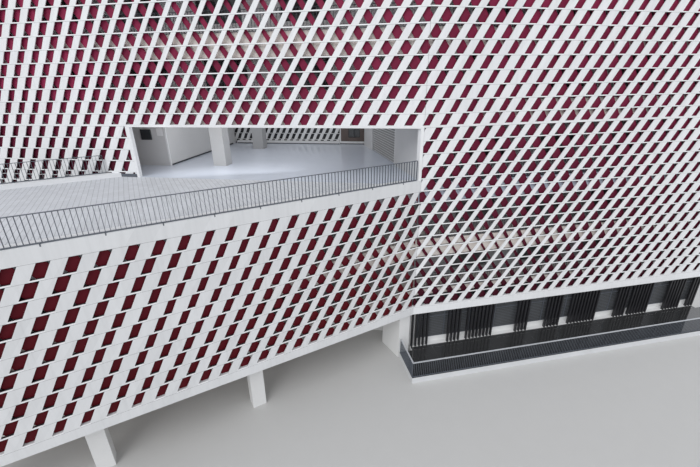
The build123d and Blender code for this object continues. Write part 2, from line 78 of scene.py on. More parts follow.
PANEL_WIDTH = 1.500
WALL = 0.100
WINDOW_SILL = 0.330
WINDOW_HEIGHT = 0.950
BEAM_DEPTH = 0.480
GROUND_SETBACK = 0.390
JAMB_WIDTH = 0.090
DECK_TOP = 0.234
DECK_DEPTH = 1.365
DECK_OVERHANG = 0.456
RAIL_HEIGHT = 0.625
RAIL_BAR = 0.025
RAIL_SETBACK = 0.060
SLAB = 0.195
CAVITY = 0.340
FLOORS = {"floor_2": 2.730, "floor_3": 4.680, "terrace_floor": 6.630, "floor_5": 9.087, "floor_6": 11.037}
GAP = 0.0003

# Fine parts of the skin
PANEL_DEPTH = 0.025
ROW_RAIL = 0.030           # level bar over a row of holes, down from the row line
ROW_LIP = 0.003            # and up from it, under the next row
PANEL_JOINT = 0.006
LIP_OUT = 0.004
LIP_HEIGHT = 0.024
LIP_OVERLAP = 0.008        # past both sides of its hole
LIP_SHORTEST = 0.050
FIN_SETBACK = 0.088
FIN_THICK = 0.010
FIN_SHIFT = 0.020          # of the fins' middles from the holes'
WING_FIN_SHIFT = 0.035
CARRIER_BACK = 0.062
CARRIER_HALF = 0.012       # half of a carrier rail's height, and its stop from the ends
FIN_STOP = 0.014
THIN_BAND = 0.014          # over the holes under the mouth's head
BARE_BAND = 0.004          # where two skins meet
KERB_BAND = 0.332          # at the top of the wing's skins

# Railings
BALUSTER_PITCH = 0.098
BALUSTER_WIDE = 0.009
BALUSTER_DEEP = 0.036
CORRIDOR_RAIL_HEIGHT = 0.600
CORRIDOR_RAIL_SETBACK = 0.060

# The far skin's inner sheet: its cells' share of the front's, their holes, and its place behind that skin
LINING_WIDE = 0.62
LINING_TALL = 0.78
LINING_OPEN = 0.50
LINING_BACK = 0.122

# The open storey: louvres, window trim, and the two bare things on its walls as x0, x1, z0, z1 from the bend
LOUVRES = 23
LOUVRE_TILT = math.radians(40)
LOUVRE_DEEP = 0.056
LOUVRE_THICK = 0.010
LOUVRE_POST = 0.050
PANEL_TRIM = 0.060
SASH = 0.024
SKIRTING = 0.035
CORNER_TRIM = 0.045
METER_BOX = (-10.79, -10.35, 7.635, 8.026)
PLATE = (-10.12, -9.86, 7.790, 8.080)

# The glazed ground front
GLAZING_FOOT = 0.470
GLAZING_RAIL = 0.900       # height of the middle rail over the foot
GLAZING_POST = 0.030
GLAZING_SHEETS = 12
BLIND_SLATS = 26

# The view that matches the photo: focal length and width in its pixels, and the place from the bend corner
PHOTO_FOCAL = 376.6
PHOTO_WIDTH = 700
VIEW_TURN = math.radians(9.19)
VIEW_DOWN = math.radians(22.08)
VIEW_ROLL = math.radians(-0.76)
VIEW_PLACE = Vector((-0.379, -11.690, 9.677))

main_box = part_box("main_skin_upper")
BEND = Vector((main_box[0][0] + MAIN_LENGTH, main_box[0][1], 0))


def heading(turn):
    return Vector((math.cos(turn), math.sin(turn), 0))


def walk(point, turn, along, inward=0.0):
    return point + heading(turn) * along + heading(turn + SQUARE) * inward


MAIN_LEFT = walk(BEND, 0, -MAIN_LENGTH)
MAIN_LEFT_BACK = walk(BEND, 0, -MAIN_LENGTH, BLOCK_DEPTH)
RIGHT_END = walk(BEND, RIGHT_TURN, RIGHT_LENGTH)
RIGHT_END_BACK = walk(BEND, RIGHT_TURN, RIGHT_LENGTH, BLOCK_DEPTH)
BEND_BACK = walk(BEND, 0, -BLOCK_DEPTH * math.tan(RIGHT_TURN / 2), BLOCK_DEPTH)
WING_FRONT = walk(BEND, WING_TURN, -WING_LENGTH)
WING_BACK = walk(BEND, WING_TURN, -WING_LENGTH, WING_DEPTH)
WING_MEETS = walk(BEND, 0, -WING_DEPTH / math.sin(WING_TURN))
BLACK = (0.0, 0.0, 0.0, 1.0)


def opaque(colour, share=1.0):
    """A colour's four numbers, at a share of its brightness."""
    return tuple(min(1.0, part * share) for part in colour) + (1.0,)


class Flow:
    """Shader maths: a wrapped socket with operators."""

    def __init__(self, tree, socket=None):
        self.tree = tree
        self.socket = socket

    def node(self, kind, settings=None, inputs=None, out=0):
        new = self.tree.nodes.new(kind)
        for name, value in (settings or {}).items():
            if name == "stops":
                ramp = new.color_ramp
                while len(ramp.elements) < len(value):
                    ramp.elements.new(0.5)
                for element, (place, colour) in zip(ramp.elements, value):
                    element.position = place
                    element.color = colour
            else:
                setattr(new, name, value)
        for name, value in (inputs or {}).items():
            if isinstance(value, Flow):
                self.tree.links.new(value.socket, new.inputs[name])
            else:
                new.inputs[name].default_value = value
        return Flow(self.tree, new.outputs[out])

    def math(self, operation, *others, clamp=False):
        values = {i: value for i, value in enumerate((self,) + others)}
        return self.node("ShaderNodeMath", {"operation": operation, "use_clamp": clamp}, values)

    def under(self, operation, other):
        """The operation with this value second."""
        return self.node("ShaderNodeMath", {"operation": operation}, {0: other, 1: self})

    def __add__(self, other):
        return self.math("ADD", other)

    def __radd__(self, other):
        return self.under("ADD", other)

    def __sub__(self, other):
        return self.math("SUBTRACT", other)

    def __rsub__(self, other):
        return self.under("SUBTRACT", other)

    def __mul__(self, other):
        return self.math("MULTIPLY", other)

    def __rmul__(self, other):
        return self.under("MULTIPLY", other)

    def __truediv__(self, other):
        return self.math("DIVIDE", other)

    def __rtruediv__(self, other):
        return self.under("DIVIDE", other)

    def less(self, other):
        return self.math("LESS_THAN", other)

    def more(self, other):
        return self.math("GREATER_THAN", other)

    def clamped(self):
        """The value held between 0 and 1."""
        return self.math("MULTIPLY", 1.0, clamp=True)

    def mix(self, low, high):
        """From one colour to another as this value goes from 0 to 1."""
        settings = {"data_type": "RGBA", "blend_type": "MIX"}
        return self.node("ShaderNodeMix", settings, {0: self, 6: low, 7: high}, out=2)

    def brighten(self, tint):
        """This value as a brightness on a tint."""
        return self.mix(BLACK, tint)


def material(name, **constants):
    """A Principled material with its constant sockets set. Returns it with its start and shader."""
    made = bpy.data.materials.new(name)
    made.use_nodes = True
    tree = made.node_tree
    tree.nodes.clear()
    shader = tree.nodes.new("ShaderNodeBsdfPrincipled")
    output = tree.nodes.new("ShaderNodeOutputMaterial")
    tree.links.new(shader.outputs[0], output.inputs[0])
    for socket, value in constants.items():
        shader.inputs[socket.replace("_", " ")].default_value = value
    return made, Flow(tree), shader


def feed(flow, shader, socket):
    flow.tree.links.new(flow.socket, shader.inputs[socket])


def spot(start):
    return start.node("ShaderNodeTexCoord", out="Object")


def wall_spot(start):
    """Place on a wall in metres, along it and up, from the piece's own map."""
    return start.node("ShaderNodeUVMap", {"uv_map": "wall"})


def axis(vector, name):
    return vector.node("ShaderNodeSeparateXYZ", None, {0: vector}, out=name)


def noise(vector, scale, detail=3.0, roughness=0.5, stretch=None):
    if stretch:
        vector = vector.node("ShaderNodeMapping", None, {"Vector": vector, "Scale": stretch})
    return vector.node("ShaderNodeTexNoise", None,
                       {"Vector": vector, "Scale": scale, "Detail": detail, "Roughness": roughness})


def bump(height, distance, strength=1.0):
    return height.node("ShaderNodeBump", None, {"Height": height, "Distance": distance, "Strength": strength},
                       out="Normal")


def cell_tone(a, b):
    """A random number for each whole pair of numbers."""
    whole = a.node("ShaderNodeCombineXYZ", None, {0: a.math("FLOOR"), 1: b.math("FLOOR")})
    return a.node("ShaderNodeTexWhiteNoise", {"noise_dimensions": "3D"}, {"Vector": whole}, out="Value")


def line(value, pitch, width, offset=0.0):
    """1 on thin lines that repeat with a pitch."""
    phase = ((value + offset) / pitch).math("FRACT") * pitch
    return phase.less(width)


# Finishes
SHADE_FADE_FROM = 3.0            # height at which the red's painted shade starts to lift, and over how much it does
SHADE_FADE_OVER = 10.0
BESIDE_LATER = 3.7         # beside the mouth it starts higher and is over sooner
BESIDE_SHORTER = 7.0
WING_FADE = 10.5           # the wing's red changes over this length before the bend
TILE_WIDE = 0.135
TILE_LONG = 0.270


def white_coating(name, base):
    """Coated panels: a joint at every row, each panel a little different, faint rain marks."""
    made, start, shader = material(name, Metallic=0.0, IOR=1.45)
    place = wall_spot(start)
    u, v = axis(place, "X"), axis(place, "Y")
    column = (u - v * LEAN - STRIP_DATUM) / CELL + 0.5
    row = v / ROW + 0.5
    tone = cell_tone(column, row)
    drift = noise(place, 0.35, 2)
    streak = noise(place, 1.0, 4, 0.6, stretch=(9.0, 0.5, 1.0))
    joint = line(v, ROW, PANEL_JOINT, ROW / 2 + ROW_RAIL + PANEL_JOINT / 2)
    level = base + tone * 0.05 + drift * 0.06 - streak.math("POWER", 3.0) * 0.18 - joint * 0.42
    feed(level.brighten((0.985, 1.0, 1.015, 1)), shader, "Base Color")
    feed(0.42 + noise(place, 14.0) * 0.2, shader, "Roughness")
    feed(bump(noise(place, 60.0) * 0.15 - joint, 0.004, 0.6), shader, "Normal")
    return made


def red_coating(name, dark, light, foot, bend_tones=None):
    """Oxide red fins, each in a slightly different tone, darkened towards the foot of the building as painted
    shade.

    foot is the share of its dark tone that the red keeps at the foot of the building, where the painted shade
    is deepest.
    bend_tones are the two tones that it runs to towards the bend corner."""
    made, start, shader = material(name, Metallic=0.0, IOR=1.45, Specular_IOR_Level=0.2)
    place = wall_spot(start)
    u, v = axis(place, "X"), axis(place, "Y")
    tone = cell_tone((u + v * BACK_LEAN) / CELL, v / ROW + 0.5)
    dust = noise(place, 3.0, 5, 0.6)
    shade = (tone * 0.5 + dust * 0.5).clamped()
    here = spot(start)
    x, y = axis(here, "X"), axis(here, "Y")
    # Painted shade: the red darkens towards the foot and lifts with height; beside the mouth it reaches
    # higher and lifts over a shorter height.
    beside = x.less(WING_MEETS.x + 0.4) * y.less(BEND.y + 0.3)
    rise = ((v - SHADE_FADE_FROM - beside * BESIDE_LATER) / (SHADE_FADE_OVER - beside * BESIDE_SHORTER)).clamped()
    paint = shade.mix(opaque(dark), opaque(light))
    if bend_tones:
        nearness = ((x - (BEND.x - WING_FADE)) / WING_FADE).clamped()
        paint = nearness.mix(paint, shade.mix(*[opaque(each) for each in bend_tones]))
    feed(rise.mix(opaque(dark, foot), paint), shader, "Base Color")
    feed(0.45 + dust * 0.25, shader, "Roughness")
    feed(bump(noise(place, 90.0), 0.001, 0.4), shader, "Normal")
    return made


def plain_coating(name, colour, rough, spread=0.12, metallic=0.0):
    """A smooth coat of paint with faint dust and an eggshell bump."""
    made, start, shader = material(name, Metallic=metallic)
    place = spot(start)
    dust = noise(place, 2.0, 5, 0.6)
    feed(dust.mix(opaque(colour, 1 - spread), opaque(colour, 1 + spread)), shader, "Base Color")
    feed(rough + noise(place, 11.0) * 0.18, shader, "Roughness")
    feed(bump(noise(place, 40.0, 2), 0.0015, 0.4), shader, "Normal")
    return made


def plaster(name, colour):
    """Painted plaster with soft clouding and a fine grain."""
    made, start, shader = material(name)
    place = spot(start)
    cloud = noise(place, 0.8, 4, 0.55)
    fine = noise(place, 25.0, 3)
    level = 0.90 + cloud * 0.14 + fine * 0.04
    feed(level.brighten(opaque(colour)), shader, "Base Color")
    feed(0.72 + fine * 0.15, shader, "Roughness")
    feed(bump(fine, 0.002, 0.35), shader, "Normal")
    return made


def terrace_paving():
    """Terrace floor: narrow tiles across the wing outside, a smooth pale floor under the roof."""
    made, start, shader = material("terrace_paving", IOR=1.5)
    place = spot(start)
    x, y = axis(place, "X"), axis(place, "Y")
    across = x * math.cos(WING_TURN) + y * math.sin(WING_TURN)
    deep = y * math.cos(WING_TURN) - x * math.sin(WING_TURN)
    joint = line(across, TILE_WIDE, 0.014).math("MAXIMUM", line(deep, TILE_LONG, 0.005))
    tone = cell_tone(across / TILE_WIDE, deep / TILE_LONG)
    outside = y.less(BEND.y + 0.02)
    cloud = noise(place, 0.5, 4, 0.6)
    tiles = 0.56 + tone * 0.06 + cloud * 0.08 - joint * 0.20
    smooth = 0.66 + cloud * 0.12
    level = outside * tiles + (1 - outside) * smooth
    tint = outside.mix((0.90, 0.98, 1.12, 1), (0.95, 0.98, 1.03, 1))
    feed(level.brighten(tint), shader, "Base Color")
    feed(0.16 + outside * 0.42 + cloud * 0.04, shader, "Roughness")
    feed(bump(0.0 - joint * outside, 0.003, 0.6), shader, "Normal")
    return made


def roof_felt():
    """Grey roof covering laid in strips."""
    made, start, shader = material("roof_felt")
    place = spot(start)
    seam = line(axis(place, "X"), 0.50, 0.014)
    grit = noise(place, 60.0, 2)
    cloud = noise(place, 0.4, 4, 0.6)
    level = 0.30 + cloud * 0.12 + grit * 0.05 - seam * 0.08
    feed(level.brighten((0.97, 0.98, 1.0, 1)), shader, "Base Color")
    feed(0.85 + grit * 0.1, shader, "Roughness")
    feed(bump(grit * 0.4 + seam, 0.004, 0.6), shader, "Normal")
    return made


def deck_slabs():
    """Dark polished slabs on a pale edge."""
    made, start, shader = material("deck_slabs", IOR=2.2)
    place = spot(start)
    x, y = axis(place, "X"), axis(place, "Y")
    along = x * math.cos(RIGHT_TURN) + y * math.sin(RIGHT_TURN)
    joint = line(along, 0.45, 0.006)
    top = axis(place, "Z").more(DECK_TOP - 0.004)
    cloud = noise(place, 1.2, 4, 0.6)
    level = top * (0.030 + cloud * 0.020 - joint * 0.015) + (1 - top) * (0.62 + cloud * 0.15)
    feed(level.brighten((0.96, 0.98, 1.0, 1)), shader, "Base Color")
    feed(0.60 - top * 0.55 + cloud * 0.03, shader, "Roughness")
    feed(bump(0.0 - joint, 0.003, 0.5), shader, "Normal")
    return made


def window_glass():
    """Dark window glass with a faint waviness."""
    made, start, shader = material("window_glass", IOR=1.5)
    place = spot(start)
    wave = noise(place, 0.7, 2)
    feed(wave.mix((0.045, 0.047, 0.049, 1), (0.105, 0.109, 0.112, 1)), shader, "Base Color")
    feed(0.05 + wave * 0.08, shader, "Roughness")
    feed(bump(wave, 0.01, 0.15), shader, "Normal")
    return made


WHITE = white_coating("white_coating", 0.79)
# The wing's white: a darker copy of the main white, as painted shade.
WING_WHITE_SHADED = white_coating("wing_white_shaded_coating", 0.71)
RED = red_coating("red_coating", (0.185, 0.014, 0.046), (0.335, 0.028, 0.088), 0.30)
# The wing's red: a browner red, and also darker than the main red as painted shade.
RED_BROWN_SHADED = red_coating("red_brown_shaded_coating", (0.098, 0.004, 0.009), (0.168, 0.008, 0.017), 1.1,
                        ((0.140, 0.012, 0.038), (0.235, 0.021, 0.066)))
TRIM = plain_coating("white_trim", (0.80, 0.81, 0.82), 0.42, 0.05)
# A white brighter than the sheet's for the lips: a painted highlight on the ledges under the holes.
LIP_HIGHLIGHT_WHITE = plain_coating("lip_highlight_white", (0.93, 0.94, 0.95), 0.42, 0.02)
RAIL_GREY = plain_coating("rail_grey", (0.115, 0.130, 0.155), 0.38, 0.15, 0.2)
RAIL_PALE = plain_coating("rail_pale", (0.55, 0.57, 0.60), 0.35, 0.08, 0.3)
FIN_DARK = plain_coating("fin_dark", (0.018, 0.018, 0.021), 0.30, 0.2)
PANEL_BROWN = plain_coating("panel_brown", (0.13, 0.10, 0.09), 0.45, 0.15)
FRAME_DARK = plain_coating("frame_dark", (0.05, 0.055, 0.06), 0.35, 0.2, 0.3)
SUPPORT_DARK = plain_coating("support_dark", (0.03, 0.025, 0.028), 0.5, 0.2)
PLASTER_WHITE = plaster("plaster_white", (0.78, 0.785, 0.78))
# A darker copy of the white plaster: painted shade on the open storey's columns and behind the louvres.
PLASTER_DEEP_SHADE = plaster("plaster_deep_shade", (0.42, 0.425, 0.43))
# A darker copy of the white plaster: painted shade on the walls inside the mouth.
PLASTER_MOUTH_SHADE = plaster("plaster_mouth_shade", (0.62, 0.625, 0.63))
# A darker copy of the white plaster: painted shade on the walls of the two lower corridors.
PLASTER_LOW_SHADE = plaster("plaster_low_shade", (0.36, 0.36, 0.37))
PLASTER_PALE = plaster("plaster_pale", (0.86, 0.86, 0.87))
SLAB_PALE = plaster("slab_pale", (0.82, 0.76, 0.71))
PAVING = terrace_paving()
FELT = roof_felt()
DECK = deck_slabs()
GLASS = window_glass()


# Mesh helpers
def finish_piece(name, bm, finishes, nodes=(), place=None):
    """Turns a finished bmesh into a piece that rides on the building."""
    if place is not None:
        bmesh.ops.transform(bm, matrix=place, verts=bm.verts[:])
    bmesh.ops.recalc_face_normals(bm, faces=bm.faces[:])
    mesh = bpy.data.meshes.new(name)
    bm.to_mesh(mesh)
    bm.free()
    piece = bpy.data.objects.new(name, mesh)
    bpy.context.scene.collection.objects.link(piece)
    for finish in finishes:
        mesh.materials.append(finish)
    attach(piece, "root")
    if nodes:
        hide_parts(*nodes)


def take_in(bm, own):
    """Adds a finished bmesh to a larger one."""
    mesh = bpy.data.meshes.new("part")
    own.to_mesh(mesh)
    own.free()
    bm.from_mesh(mesh)
    bpy.data.meshes.remove(mesh)


def standing(bm, point, turn):
    """Turns and moves a piece built along X, with Z up, to its place on the plan."""
    place = Matrix.Translation(point) @ Matrix.Rotation(turn, 4, "Z")
    bmesh.ops.transform(bm, matrix=place, verts=bm.verts[:])


def map_wall(bm):
    """Keeps each point's place along the wall and up it, in metres."""
    layer = bm.loops.layers.uv.get("wall") or bm.loops.layers.uv.new("wall")
    for face in bm.faces:
        for loop in face.loops:
            loop[layer].uv = (loop.vert.co.x, loop.vert.co.z)


def cut(bm, point, normal):
    """Removes what lies on the normal's side of a plane, without closing the cut."""
    return bmesh.ops.bisect_plane(bm, geom=bm.verts[:] + bm.edges[:] + bm.faces[:], dist=1e-6,
                                  plane_co=point, plane_no=normal, clear_outer=True)


def slice_closed(bm, point, normal):
    """The same on a closed solid, with the cut closed again."""
    done = cut(bm, point, normal)
    edges = [part for part in done["geom_cut"] if isinstance(part, bmesh.types.BMEdge)]
    bmesh.ops.holes_fill(bm, edges=edges, sides=0)


def thicken(bm, faces, depth):
    """Gives a flat sheet that faces outwards its depth, inwards along +Y."""
    grown = bmesh.ops.extrude_face_region(bm, geom=faces, use_keep_orig=True)
    moved = [part for part in grown["geom"] if isinstance(part, bmesh.types.BMVert)]
    bmesh.ops.translate(bm, vec=(0, depth, 0), verts=moved)


def upright_grid(bm, columns, rows, x0, x1, z0, z1):
    """A grid of faces standing on the wall's plane."""
    made = bmesh.ops.create_grid(bm, x_segments=columns, y_segments=rows, size=0.5)
    place = (Matrix.Translation(((x0 + x1) / 2, 0, (z0 + z1) / 2))
             @ Matrix.Diagonal((x1 - x0, 1, z1 - z0, 1)) @ Matrix.Rotation(SQUARE, 4, "X"))
    bmesh.ops.transform(bm, matrix=place, verts=made["verts"])
    return made["verts"]


def lean_over(verts, slope):
    """Leans upright lines along the wall as they rise."""
    for vert in verts:
        vert.co.x += vert.co.z * slope


def bar(bm, low, high, bevel=0.0):
    """A square bar between two corners, with small bevels if asked."""
    size = Vector(high) - Vector(low)
    place = Matrix.Translation((Vector(low) + Vector(high)) / 2) @ Matrix.Diagonal(size.to_4d())
    made = bmesh.ops.create_cube(bm, size=1.0, matrix=place)
    if bevel:
        edges = list({edge for vert in made["verts"] for edge in vert.link_edges})
        bmesh.ops.bevel(bm, geom=edges, offset=bevel, offset_type="OFFSET", affect="EDGES", segments=1,
                        profile=0.5, material=-1)


# How open the skin is over the unfolded front: bumps with a middle, two radii, a turn and a height. Their
# middles are counted in rows' lengths from the bend corner, and in rows down from TOP_ROW.
TOP_ROW = 28
OPEN_BUMPS = [(-16.7, 0.4, 14.4, 8.1, 0.42, 0.262), (6.0, 18.3, 22.4, 6.8, -0.06, 0.300),
              (-15.2, 13.7, 17.0, 4.2, -0.70, -0.142), (6.2, 3.4, 10.8, 4.0, -0.39, -0.294),
              (8.3, 3.5, 13.7, 8.7, 0.26, 0.268), (32, 10, 11, 14, 0, -0.08)]
# Where the fins are narrower than the holes ask
FIN_DIPS = [(5, 17.5, 12, 4.0, 0.15, 0.42), (-11.5, -1.2, 10.5, 4.0, 0, 0.36)]


def swell(s, k, swelling):
    """Height of one bump at a place."""
    s0, k0, wide, tall, turn, height = swelling
    a = (s - s0) * math.cos(turn) + (k - k0) * math.sin(turn)
    b = (k - k0) * math.cos(turn) - (s - s0) * math.sin(turn)
    return height * math.exp(-(a / wide) ** 2 - (b / tall) ** 2)


def openness(s, z):
    """Width of a hole as a share of the cell, s rows from the bend corner and at a height."""
    k = TOP_ROW - z / ROW
    value = 0.428 - 0.016 * s / 30 - 0.023 * k / 20 + sum(swell(s, k, each) for each in OPEN_BUMPS)
    return min(0.80, max(0.26, value))


def hole_lean(share):
    """Slope of a hole's own sides: less than the strips' where the holes are narrow."""
    return min(LEAN, max(0.45, 0.50 + 0.45 * (share - 0.35)))


def fin_share(s, z):
    """Width of a fin as a share of the cell: narrower where the holes are wide."""
    k = TOP_ROW - z / ROW
    dips = sum(swell(s, k, each) for each in FIN_DIPS)
    return min(0.92, max(0.16, 1.29 - openness(s, z) - dips))


class Wall:
    """A lattice wall: its start and turn, length, heights, bands at the foot and top, and turns at its ends.

    datum is the middle of a hole at ground level. rows_from is how many rows' lengths the wall's start lies
    from the bend corner on the unfolded front, and step is 1 or -1 for the way that they are counted."""

    def __init__(self, start, turn, length, low, high, foot, top, ends, datum, rows_from, step):
        self.place = Matrix.Translation(start) @ Matrix.Rotation(turn, 4, "Z")
        self.length = length
        self.low = low
        self.high = high
        self.at_bend = [0 < abs(turn) < BEND_LIMIT for turn in ends]
        left, right = [BEND_MARGIN if bent else SKIN_MARGIN for bent in self.at_bend]
        self.inside = (left, length - right, low + foot, high - top)
        self.ends = ends
        self.datum = datum
        self.rows_from = rows_from
        self.step = step
        self.fin_shift = FIN_SHIFT
        self.feet = []

    def s(self, x):
        """Place along the unfolded front in rows' lengths from the bend corner."""
        return self.rows_from + self.step * x / ROW

    def trim(self, bm, short=0.0):
        """Cuts a leaning sheet to the inside of the wall's bands and margins."""
        x0, x1, z0, z1 = self.inside
        cut(bm, (x0 + short, 0, 0), (-1, 0, 0))
        cut(bm, (x1 - short, 0, 0), (1, 0, 0))
        cut(bm, (0, 0, z0), (0, 0, -1))
        cut(bm, (0, 0, z1), (0, 0, 1))

    def rows(self):
        """First and last whole row line around the holes."""
        z0, z1 = self.inside[2], self.inside[3]
        return math.floor(z0 / ROW + 0.5 + 1e-3) - 0.5, math.ceil(z1 / ROW + 0.5 - 1e-2) - 0.5

    def columns(self, slope, pitch_at):
        """Whole cells that cover the wall once they lean."""
        x0, x1, z0, z1 = self.inside
        reach = [x - slope * z for x in (x0, x1) for z in (z0, z1)]
        first = math.floor((min(reach) - pitch_at) / CELL) - 1
        last = math.ceil((max(reach) - pitch_at) / CELL) + 1
        return first, last


def lattice_sheet(wall, side_lean=LEAN, even=None):
    """The white sheet: a leaning grid whose cells are opened as wide as the pattern asks, or all alike.

    The wall keeps the foot of each hole, for its lip."""
    bm = bmesh.new()
    first_row, last_row = wall.rows()
    start = wall.datum - CELL / 2
    first, last = wall.columns(side_lean, start)
    upright_grid(bm, last - first, int(last_row - first_row), start + first * CELL, start + last * CELL,
                 first_row * ROW, last_row * ROW)
    cells = bm.faces[:]
    bmesh.ops.inset_individual(bm, faces=cells, thickness=0.02, use_even_offset=True)
    head = ROW / 2 - ROW_RAIL
    foot = ROW_LIP - ROW / 2
    for cell in cells:
        centre = cell.calc_center_median()
        share = even or openness(wall.s(centre.x + LEAN * centre.z), centre.z)
        half = share * CELL / 2
        own_lean = (hole_lean(share) / LEAN - 1) * side_lean
        for vert in cell.verts:
            side = 1 if vert.co.x > centre.x else -1
            up = head if vert.co.z > centre.z else foot
            vert.co.x = centre.x + side * half + own_lean * up
            vert.co.z = centre.z + up
        level = centre.z + foot
        middle = centre.x + own_lean * foot + side_lean * level
        wall.feet.append((middle - half, middle + half, level))
    bmesh.ops.delete(bm, geom=cells, context="FACES_ONLY")
    lean_over(bm.verts, side_lean)
    wall.trim(bm)
    map_wall(bm)
    thicken(bm, bm.faces[:], PANEL_DEPTH)
    return bm


def foot_lips(wall, out):
    """Lips on the sheet, one under the foot of every hole, in a white brighter than the sheet's as a painted
    highlight.
    """
    bm = bmesh.new()
    x0, x1, z0, z1 = wall.inside
    for left, right, level in wall.feet:
        left, right = max(left - LIP_OVERLAP, x0 + GAP), min(right + LIP_OVERLAP, x1 - GAP)
        if right - left > LIP_SHORTEST and z0 - LIP_HEIGHT < level < z1 - 0.02:
            bar(bm, (left, -out, level - LIP_HEIGHT), (right, PANEL_DEPTH / 2, level + 0.002))
    return bm


def edge_frame(bm, wall):
    """Bands at the foot and top and a post at each end, cut to the mitres of the corners."""
    own = bmesh.new()
    x0, x1, z0, z1 = wall.inside
    grow = [SKIN_DEPTH * math.tan(-turn / 2) if turn < 0 else 0.0 for turn in wall.ends]
    along = [-grow[0], x0, x1, wall.length + grow[1]]
    up = [wall.low, z0, z1, wall.high]
    upright_grid(own, 3, 3, 0, 3, 0, 3)
    for vert in own.verts:
        vert.co.x = along[round(vert.co.x)]
        vert.co.z = up[round(vert.co.z)]
    open_from = along[0] - 1 if wall.at_bend[0] else x0
    open_to = along[3] + 1 if wall.at_bend[1] else x1
    middle = [face for face in own.faces
              if open_from < face.calc_center_median().x < open_to and z0 < face.calc_center_median().z < z1]
    bmesh.ops.delete(own, geom=middle, context="FACES_ONLY")
    map_wall(own)
    thicken(own, own.faces[:], SKIN_DEPTH)
    left, right = wall.ends
    if left:
        slice_closed(own, heading(-left / 2) * GAP, -heading(-left / 2))
    if right:
        side = heading(math.pi + right / 2)
        slice_closed(own, Vector((wall.length, 0, 0)) + side * GAP, -side)
    take_in(bm, own)


def fin_layer(wall):
    """Red fins behind the sheet, leaning the other way, one through every hole."""
    bm = bmesh.new()
    first_row, last_row = wall.rows()
    start = wall.datum - wall.fin_shift
    first, last = wall.columns(-BACK_LEAN, start)
    for column in range(first, last + 1):
        centre = start + column * CELL
        strip = upright_grid(bm, 1, int(last_row - first_row), centre - 0.5, centre + 0.5,
                             first_row * ROW, last_row * ROW)
        for vert in strip:
            share = fin_share(wall.s(centre - BACK_LEAN * vert.co.z), vert.co.z)
            side = 1 if vert.co.x > centre else -1
            vert.co.x = centre + side * share * CELL / 2
    lean_over(bm.verts, -BACK_LEAN)
    wall.trim(bm, FIN_STOP)
    map_wall(bm)
    bmesh.ops.translate(bm, vec=(0, FIN_SETBACK, 0), verts=bm.verts[:])
    thicken(bm, bm.faces[:], FIN_THICK)
    return bm


def carrier_rails(wall):
    """Thin dark rails between the sheet and the fins, one behind every row line."""
    bm = bmesh.new()
    x0, x1, z0, z1 = wall.inside
    first_row, last_row = wall.rows()
    for i in range(int(last_row - first_row) + 1):
        middle = (first_row + i) * ROW - ROW_RAIL / 2
        low, high = middle - CARRIER_HALF, middle + CARRIER_HALF
        if z0 < low and high < z1:
            bar(bm, (x0 + CARRIER_HALF, CARRIER_BACK, low), (x1 - CARRIER_HALF, FIN_SETBACK - 0.001, high))
    return bm


# The walls' lengths and turns
FOLD = RIGHT_TURN - WING_TURN
ALONG_MAIN = 2 * WING_TURN - math.pi
BESIDE = MAIN_LENGTH - MOUTH_WIDTH - JAMB_WIDTH - GAP
MEETS = MAIN_LENGTH + (WING_MEETS - BEND).x - GAP
BACK_MAIN = (BEND_BACK - MAIN_LEFT_BACK).length
BACK_RIGHT = (RIGHT_END_BACK - BEND_BACK).length
STUB = (WING_BACK - WING_MEETS).length
LEFT_S = -MAIN_LENGTH / ROW
RIGHT_S = RIGHT_LENGTH / ROW
WING_S = -WING_LENGTH / ROW
STUB_S = -20
WING_TOP = TERRACE + KERB_HEIGHT
FULL = (SKIN_FOOT, ROOF_EDGE, FOOT_BAND, TOP_BAND)
UPPER = (MOUTH_HEAD + GAP, ROOF_EDGE, ROW_RAIL, TOP_BAND)
WING = (SKIN_FOOT, WING_TOP, FOOT_BAND, KERB_BAND)
ON_MAIN = MAIN_LENGTH + STRIP_DATUM
ON_WING = WING_LENGTH + STRIP_DATUM - 0.05

